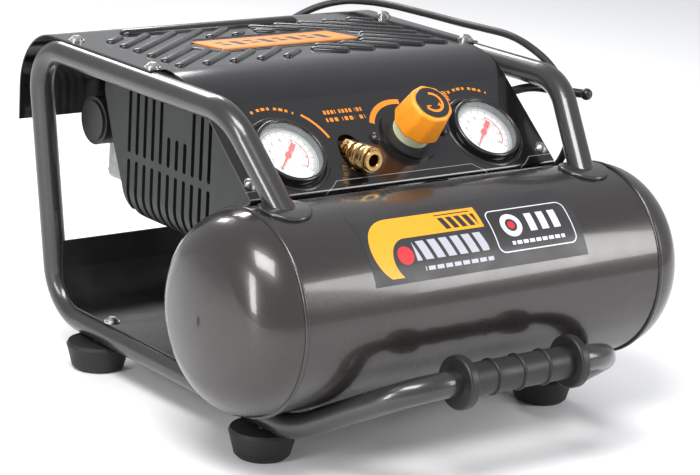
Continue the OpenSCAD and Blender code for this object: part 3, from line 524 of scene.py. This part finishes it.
def capsule(name, length, radius, height, place):
    """A rounded rib: a ball drawn out to a length, flattened and cut level below."""
    deselect()
    bpy.ops.mesh.primitive_uv_sphere_add(segments=20, ring_count=12, radius=radius)
    obj = bpy.context.object
    obj.name = name
    bpy.ops.object.mode_set(mode="EDIT")
    bpy.ops.mesh.select_mode(type="VERT")
    bpy.ops.mesh.select_all(action="DESELECT")
    bpy.ops.object.mode_set(mode="OBJECT")
    for v in obj.data.vertices:
        v.select = v.co.x > radius * 0.01
    bpy.ops.object.mode_set(mode="EDIT")
    bpy.ops.transform.translate(value=(length, 0, 0))
    bpy.ops.mesh.select_all(action="SELECT")
    bpy.ops.transform.translate(value=(-length / 2, 0, 0))
    bpy.ops.transform.resize(value=(1, 1, height / radius), center_override=(0, 0, 0))
    bpy.ops.mesh.bisect(plane_co=(0, 0, -0.4 * MM), plane_no=(0, 0, 1), clear_inner=True,
                        use_fill=True)
    bpy.ops.object.mode_set(mode="OBJECT")
    return settle(obj, place)


BADGE_Y = (BADGE.y - TANK.y) / MM
RIB_Y = (172, 305)
RIB_X = (5, 150)
RIB_R = 4.5
RIB_H = 2.7
RIB_PITCH = 28.5
RIB_START = 3
RIB_SLOPE = radians(38)
SHORTEST_RIB = 9
REAR_BEAD = {"middle": (-20, 317), "length": 180, "radius": 7.5, "height": 4.5}
RECESS = (96, 30)
RIM_R = 1.5


def clear_of_badge(x, y):
    """Whether a place lies outside the long six-sided recess, by a rib's half width."""
    past_tip = 1 - abs(x) / RECESS[0]
    return past_tip < 0 or abs(y - BADGE_Y) > RECESS[1] * min(1, 4.2 * past_tip) + RIB_R


def rib_spans(start):
    """Lengths of one slanted line that lie in the ribbed field."""
    spans, begun = [], None
    low, high = RIB_Y[0] + RIB_R, RIB_Y[1] - RIB_R
    steps = int((high - low) / sin(RIB_SLOPE))
    for i in range(steps + 2):
        x, y = start - i * cos(RIB_SLOPE), low + i * sin(RIB_SLOPE)
        inside = (i <= steps and RIB_X[0] + RIB_R < x < RIB_X[1] - RIB_R and clear_of_badge(x, y))
        if inside and begun is None:
            begun = i
        elif not inside and begun is not None:
            if i - begun > SHORTEST_RIB:
                spans.append((begun, i - 1))
            begun = None
    return [(start - (a + b) / 2 * cos(RIB_SLOPE), low + (a + b) / 2 * sin(RIB_SLOPE), b - a)
            for a, b in spans]


def add_cover_ribs():
    ribs = []
    for k in range(12):
        for x, y, length in rib_spans(k * RIB_PITCH + RIB_START):
            for side in (-1, 1):
                place = Matrix.Translation((-side * x * MM, TANK.y + y * MM, COVER_TOP))
                turn = Matrix.Rotation(side * RIB_SLOPE, 4, "Z")
                ribs.append(capsule("rib", length * MM, RIB_R * MM, RIB_H * MM, place @ turn))
    x, y = REAR_BEAD["middle"]
    place = Matrix.Translation((x * MM, TANK.y + y * MM, COVER_TOP))
    length, radius, height = (REAR_BEAD[k] * MM for k in ("length", "radius", "height"))
    ribs.append(capsule("rib", length, radius, height, place))
    ribs = join("cover_ribs", ribs)
    finish_piece(ribs, COVER_PAINT.material)
    rim = []
    w, h = RECESS
    for x, y in ((-w, 0), (-w * 0.76, h), (w * 0.76, h), (w, 0), (w * 0.76, -h), (-w * 0.76, -h)):
        rim.append(Vector((x * MM, BADGE.y + y * MM * 0.86, COVER_TOP - 0.3 * MM)))
    rim = as_mesh(bead("badge_rim", rim, RIM_R * MM, closed=True))
    settle(rim)
    finish_piece(rim, COVER_PAINT.material)


def badge_look():
    s = moulded("badge_print", ORANGE, 0.35, 1300, 0.05)
    at = s.place(BADGE)
    u, v = s.part(at, X), s.part(at, Y)
    lean = u + v * 0.27
    bars = (lean % 15.5 < 9.5) * (abs(v) < 8.5) * (abs(lean) < 62)
    gaps = ((v + 8.5) % 8.5 < 2.6) * ((lean % 31) < 15.5)
    s.paint(bars * (1 - gaps), (0.012, 0.012, 0.013))
    s.paint((abs(v) > 15.2).between(0.5, 2) * (abs(v) < 16.4), (0.012, 0.012, 0.013))
    return s


add_cover_ribs()
wear("badge_plate", badge_look())

# ---------------------------------------------------------------- gauges


DIAL_START, DIAL_TURN = 225, 270
NUMBERS_R = 16.2 * MM
NUMBER_H = 5.2 * MM
DIAL_FACE = -2.16 * MM


def dial_look(name, centre):
    """White dial with fine and long ticks over three quarters of a turn, and a grey rim."""
    s = moulded(name, (0.86, 0.86, 0.84), 0.4, 1500, 0.05)
    at = s.place(centre)
    r, a = s.polar(s.part(at, X), s.part(at, PANEL_UP), 0, 0)
    turn = (DIAL_START - a) % 360
    fine = ((turn + 0.35) % 3.375 < 0.7) * r.between(23.6, 25.6)
    long = ((turn + 0.65) % 16.875 < 1.3) * r.between(21.6, 25.6)
    ring = r.between(25.4, 25.9)
    s.paint(r > 26.6, (0.36, 0.37, 0.38))
    s.paint(r.between(18.8, 19.9) * turn.between(168, 271), (0.62, 0.02, 0.012))
    s.paint(fine.most(long).most(ring) * (turn < 271), (0.01, 0.01, 0.01))
    return s


def dial_numbers(name, centre):
    """Even numbers from 0 to 16 round the dial, as thin solid figures."""
    pieces = []
    for i in range(9):
        a = radians(DIAL_START - i * DIAL_TURN / 8)
        deselect()
        bpy.ops.object.text_add()
        text = bpy.context.object
        text.data.body = str(2 * i)
        text.data.size = NUMBER_H
        text.data.align_x = text.data.align_y = "CENTER"
        text.data.extrude = 0.03 * MM
        text = as_mesh(text)
        pieces.append(settle(text, on_panel(centre) @ Matrix.Translation(
            (NUMBERS_R * cos(a), NUMBERS_R * sin(a), DIAL_FACE))))
    numbers = join(name, pieces)
    return finish_piece(numbers, CASE_PLASTIC.material)


CASE_OUTLINE = [(0, -9), (1.2, -9), (1.2, -3.1), (29.2, -3.1), (29.2, 5.6)] \
    + round_corner(30.4, 6.0, 1.2, 180, 90, 4) + round_corner(30.6, 5.3, 1.9, 90, 0, 5) \
    + [(32.5, 0.6), (32.1, 0), (30, 0), (30, -22.5), (28.5, -24), (6.5, -24), (5.5, -24.6),
       (5.5, -36.5), (0, -36.5)]
WINDOW_OUTLINE = [(0, 4.0), (29.15, 4.0), (29.15, 5.0), (27.5, 5.9), (22, 6.8), (14, 7.5), (0, 7.9)]
RING_OUTLINE = [(34.2, -0.5), (34.2, 0), (34.9, 0.8), (35.7, 1.2), (37.3, 1.2), (38.1, 0.8),
                (38.8, 0), (38.8, -0.5), (34.2, -0.5)]
BEZEL = black_paint("bezel", (0.01, 0.01, 0.011), 0.22, 0.4)
GLASS = Shader("window_glass", (0.9, 0.95, 0.95), 0.03, coat=1.0, coat_roughness=0.02)
GLASS.set("Alpha", GLASS.ramp(GLASS.noise(30, 2), 0.3, 0.7, 0.07, 0.11))


def add_gauge(side, centre):
    case = turned("gauge_bezel_" + side, CASE_OUTLINE, on_panel(centre), 96)
    finish_piece(case, BEZEL.material, replaces=("gauge_case_" + side,))
    window = turned("gauge_window_" + side, WINDOW_OUTLINE, on_panel(centre), 96)
    finish_piece(window, GLASS.material, replaces=("gauge_lens_" + side,))
    ring = turned("gauge_ring_" + side, RING_OUTLINE, on_panel(centre), 96)
    finish_piece(ring, COVER_PAINT.material)
    wear("gauge_dial_" + side, dial_look("dial_" + side, centre))
    dial_numbers("dial_numbers_" + side, centre)


add_gauge("left", GAUGE_LEFT)
add_gauge("right", GAUGE_RIGHT)

# ---------------------------------------------------------------- regulator knob and outlet


def cap_look():
    s = black_paint("knob_cap", (0.014, 0.014, 0.015), 0.3, 0.2)
    at = s.place(KNOB)
    u, v = s.part(at, X), s.part(at, PANEL_UP)
    r, a = s.polar(u, v, 0, 0)
    arc = r.between(8.2, 10.6) * (((a + 150) % 360) < 240)
    plus = (abs(u - 6) < 2.4) * (abs(v + 3.5) < 0.6)
    plus = plus.most((abs(u - 6) < 0.6) * (abs(v + 3.5) < 2.4))
    minus = (abs(u + 6) < 2.4) * (abs(v + 3.5) < 0.6)
    s.paint(arc.most(plus).most(minus), ORANGE)
    return s


def add_knob():
    """Tapered knob with nine flat sides, rounded edges and a hollow for the bonnet."""
    deselect()
    bpy.ops.mesh.primitive_cone_add(vertices=9, radius1=23.6 * MM, radius2=20.0 * MM, depth=30 * MM,
                                    location=(0, 0, 29 * MM))
    knob = bpy.context.object
    knob.name = "faceted_knob"
    settle(knob)
    modify(knob, "BEVEL", width=2.6 * MM, segments=5, limit_method="ANGLE", angle_limit=radians(25))
    core = turned("core", [(0, 10), (14.6, 10), (14.6, 17.4), (5.1, 17.4), (5.1, 34.6), (0, 34.6)],
                  Matrix.Identity(4), 48)
    modify(knob, "BOOLEAN", operation="DIFFERENCE", object=core)
    bpy.data.objects.remove(core)
    settle(knob, on_panel(KNOB), 40)
    finish_piece(knob, ORANGE_PLASTIC.material, "regulator", ("regulator_knob",))
    cap = turned("printed_cap", [(0, 43.9), (16, 43.9), (16.2, 44.4), (15.7, 45), (0, 45.1)],
                 on_panel(KNOB))
    finish_piece(cap, cap_look().material, "regulator", ("knob_cap",))


SLEEVE_OUTLINE = [(8.6, 3), (10.5, 3), (11.5, 4), (11.5, 6.2), (10.8, 6.8), (10.8, 7.5), (11.5, 8),
                  (11.5, 9.6), (10.1, 10.6), (10.1, 14.2), (11.5, 15.2), (11.5, 16.6),
                  (11.0, 17), (11.0, 17.5), (11.5, 18), (11.5, 20.1), (10.6, 21), (8.6, 21), (8.6, 3)]
COUPLER_OUTLINE = [(0, 26), (5, 26), (5, 0.8), (5.8, 0), (8.7, 0), (9.5, 0.8), (9.5, 2.4), (8.5, 3),
                   (8.5, 26), (10.1, 26), (10.5, 26.5), (10.5, 29.5), (10.1, 30), (7.4, 30.4),
                   (7.4, 34.2), (9.4, 34.4), (9.4, 41.6), (7, 42), (7, 55), (0, 55)]


def add_coupler():
    place = along(Y, X, OUTLET - 12 * MM * Y)
    body = turned("coupler_turned", COUPLER_OUTLINE, place)
    deselect()
    bpy.ops.mesh.primitive_cylinder_add(vertices=6, radius=10.9 * MM, depth=7.4 * MM,
                                        location=(0, 0, 38 * MM))
    nut = bpy.context.object
    modify(nut, "BEVEL", width=0.7 * MM, segments=2)
    body = join("coupler_turned", [body, settle(nut, place)])
    finish_piece(body, BRASS.material, replaces=("coupler_body",))
    sleeve = turned("sleeve_turned", SLEEVE_OUTLINE, place)
    finish_piece(sleeve, BRASS.material, "sleeve", ("coupler_sleeve",))


add_knob()
add_coupler()

# ---------------------------------------------------------------- tank label


LABEL_X = (-119, 108)
LABEL_A = (22.4, 68.5)


def label_look():
    """Dark sheet with an amber flash and a pale outlined box, with no words."""
    s = black_paint("label_print", (0.02, 0.02, 0.021), 0.45, 0.08)
    at = s.place(TANK)
    u = s.part(at, X)
    v = s.part(at, Z).math("ARCTAN2", s.part(at, -Y)) * (180 / pi)
    w = v * radians(TANK_R / MM)
    outer, inner = s.polar(u, w, -84, 62.6)[0], s.polar(u, w, -76, 52.4)[0]
    band = w.between(71.2, 92.6) * u.between(-84.1, 8)
    hook = (outer < 30) * (inner > 19) * (u < -76) * (w > 38)
    s.paint(band.most(hook), (0.78, 0.33, 0.015))
    dashes = w.between(74, 86) * u.between(-34, 4) * ((u + w * 0.3) % 8.6 < 5.6)
    s.paint(dashes.most(w.between(88.4, 89.6) * u.between(-36, 2)), (0.02, 0.018, 0.016))
    bars = w.between(50, 67) * u.between(-72, 4) * ((u + w * 0.3) % 12 < 8.2)
    line = w.between(41, 44.4) * u.between(-66, 6) * ((u % 9) < 7)
    s.paint(s.polar(u, w, -82, 56)[0] < 8, (0.6, 0.02, 0.03))
    s.paint(bars.most(line), (0.42, 0.42, 0.47))
    du, dv = ((abs(n) - m).most(0) for n, m in ((u - 57.3, 36), (w - 65.3, 13)))
    frame_line = (du * du + dv * dv).math("SQRT").between(6.2, 7.3)
    posts = w.between(61, 78) * u.between(54, 90) * ((u - 54) % 13 < 7.6)
    row = w.between(51, 54.2) * u.between(30, 88) * ((u % 7) < 5.4)
    mark = s.polar(u, w, 36, 69)[0]
    s.paint(frame_line.most(posts).most(row).most(mark.between(6, 11)), (0.62, 0.62, 0.66))
    s.paint(mark < 3.6, (0.6, 0.02, 0.03))
    return s


def add_label():
    r = TANK_R + 0.15 * MM
    low, high = (radians(a) for a in LABEL_A)
    arc = [TANK + Vector((LABEL_X[0] * MM, -r * cos(a), r * sin(a)))
           for a in (low + (high - low) * i / 24 for i in range(25))]
    sheet = chain("tank_label", arc)
    bpy.ops.mesh.select_all(action="SELECT")
    width = (LABEL_X[1] - LABEL_X[0]) * MM
    bpy.ops.mesh.extrude_region_move(TRANSFORM_OT_translate={"value": (width, 0, 0)})
    bpy.ops.object.mode_set(mode="OBJECT")
    outward(sheet)
    modify(sheet, "SOLIDIFY", thickness=0.12 * MM, offset=0)
    settle(sheet)
    finish_piece(sheet, label_look().material)


add_label()


# ---------------------------------------------------------------- welds


def add_welds():
    """A fillet of weld round each foot plate of the roll bars, where it meets the tank."""
    low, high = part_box("bar_foot_plates")
    r = (high.y - low.y) / 2
    y = (high.y + low.y) / 2
    beads = []
    for side in (-1, 1):
        points = []
        for i in range(48):
            a = tau * i / 48
            x, across = side * (high.x - r) + r * cos(a), y - TANK.y + r * sin(a)
            wave = 0.25 * MM * sin(a * 24)
            points.append(Vector((x, y + r * sin(a),
                                  TANK.z + ((TANK_R + 1.2 * MM) ** 2 - across ** 2) ** 0.5 + wave)))
        beads.append(settle(as_mesh(bead("weld", points, 1.9 * MM, closed=True))))
    finish_piece(join("plate_welds", beads), BAR_PAINT.material)


add_welds()

# ---------------------------------------------------------------- mains lead

LEAD_D = 7 * MM
COIL_R = 40 * MM
COIL_LAYERS = 3
COIL_STEPS = 24


def from_tank(x, y, z):
    """A place given from the tank's axis in Y, in mm, as metres in the frame."""
    return Vector((x * MM, y * MM + TANK.y, z * MM))


LEAD_ROUTE = [from_tank(*p) for p in (
    (30, 277, 176.6), (30.5, 291, 176.2), (32, 322, 170.6), (38, 352, 164.6), (48, 378, 172),
    (58, 393, 196), (70, 397, 228), (90, 395, 258), (118, 390, 280), (146, 380, 296),
    (166, 360, 305), (178, 334, 308), (184, 305, 309), (187, 275, 309), (189, 245, 309),
    (190, 210, 309), (190, 173, 310), (191, 140, 310), (192, 112, 305), (193, 84, 294),
    (194, 62, 276), (192, 48, 254), (189, 45, 232), (187.5, 52.5, 211), (187, 70, 191.5),
    (189, 85, 169), (191, 94, 137), (192, 96, 103), (193, 98, 70), (196, 104, 40),
    (199, 118, 19), (201, 142, 8), (202, 175, 4.4), (203, 215, 3.8), (203, 265, 3.7),
    (200, 320, 3.6), (190, 375, 3.6), (168, 413, 3.6), (148, 446, 3.6), (134.4, 473.4, 3.6))]
COIL_AT = from_tank(95, 455, 0)


def flowing(points, steps):
    """Points of a smooth curve through a given route."""
    out = []
    for i in range(len(points) - 1):
        a, b = points[max(i - 1, 0)], points[i]
        c, d = points[i + 1], points[min(i + 2, len(points) - 1)]
        for k in range(steps):
            t = k / steps
            out.append(0.5 * (2 * b + (c - a) * t + (2 * a - 5 * b + 4 * c - d) * t * t
                              + (3 * b - a - 3 * c + d) * t ** 3))
    return out + [points[-1]]


def coil_turns(start_angle, more):
    """Turns laid side by side and on each other: out and in again, one layer on the next."""
    points = []
    outer = COIL_R + LEAD_D / 2
    for turn in range(int((2 * COIL_LAYERS + more) * COIL_STEPS)):
        t = turn / COIL_STEPS
        layer = min(int(t // 2), COIL_LAYERS - 1)
        within = t - 2 * layer
        inward = LEAD_D * min(1, max(0, within - 0.6) / 0.8)
        r = outer - (LEAD_D - inward if layer % 2 else inward)
        rise = LEAD_D * max(0, within - 1.75) / 0.3
        a = start_angle + tau * t
        points.append(COIL_AT + Vector((r * cos(a), r * sin(a), LEAD_D * (0.52 + layer) + rise)))
    return points


def run_to_plug(start_z):
    """From the top of the coil, round a wide bend and down into the back of the plug."""
    low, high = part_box("mains_plug")
    end = Vector(((low.x + high.x) / 2, high.y - 3 * MM, (low.z + high.z) / 2))
    points = []
    for i in range(13):
        a = radians(70 + 110 * i / 12)
        z = start_z + (end.z - start_z) * i / 12
        points.append(Vector((end.x + 30 * MM * (1 + cos(a)), high.y + 30 * MM * sin(a), z)))
    return points + [end]


def add_lead():
    start = atan2(LEAD_ROUTE[-1].y - COIL_AT.y, LEAD_ROUTE[-1].x - COIL_AT.x)
    coil = coil_turns(start, (radians(70) - start) / tau)
    points = flowing(LEAD_ROUTE, 6)[:-1] + coil + run_to_plug(coil[-1].z)
    lead = bead("lead", points, LEAD_D / 2, sides=3)
    finish_piece(lead, CORD_SHEATH.material, replaces=("mains_lead", "lead_coil"))
    return lead, sum((b - a).length for a, b in zip(points, points[1:]))


def rounded_box(size, centre, bend):
    deselect()
    bpy.ops.mesh.primitive_cube_add(size=1, location=centre)
    box = bpy.context.object
    box.scale = size
    settle(box)
    modify(box, "BEVEL", width=bend, segments=4)
    return settle(box)


def add_plug():
    """Two-pin plug that lies on the floor, with a ribbed sleeve where the lead goes in."""
    low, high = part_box("mains_plug")
    mid = (low + high) / 2
    body = rounded_box((22 * MM, 16 * MM, 25 * MM), (mid.x, high.y - 15 * MM, mid.z), 5 * MM)
    face = rounded_box((24 * MM, 5 * MM, 27.6 * MM), (mid.x, high.y - 21.5 * MM, mid.z), 1.6 * MM)
    outline = [(0, -9), (8, -9), (7, -6.5), (5.6, -6.3), (6.6, -5), (5.2, -4.6), (5.9, -3),
               (4.6, -2.6), (5.2, -1), (4.2, 0), (0, 0)]
    sleeve = turned("plug_sleeve", outline, along(Y, X, Vector((mid.x, high.y, mid.z))), 32)
    plug = finish_piece(join("plug", [body, face, sleeve]), RUBBER.material,
                        replaces=("mains_plug",))
    pins = []
    for side in (-1, 1):
        pin = [(0, 0), (1.8, 0), (2.4, 0.8), (2.4, 18), (0, 18)]
        pins.append(turned("pin", pin, along(Y, X, Vector((mid.x, low.y, mid.z + side * 9.3 * MM))), 24))
    pins = finish_piece(join("plug_pins", pins), BRASS.material)
    return plug, pins


lead, lead_length = add_lead()
plug_pieces = add_plug()
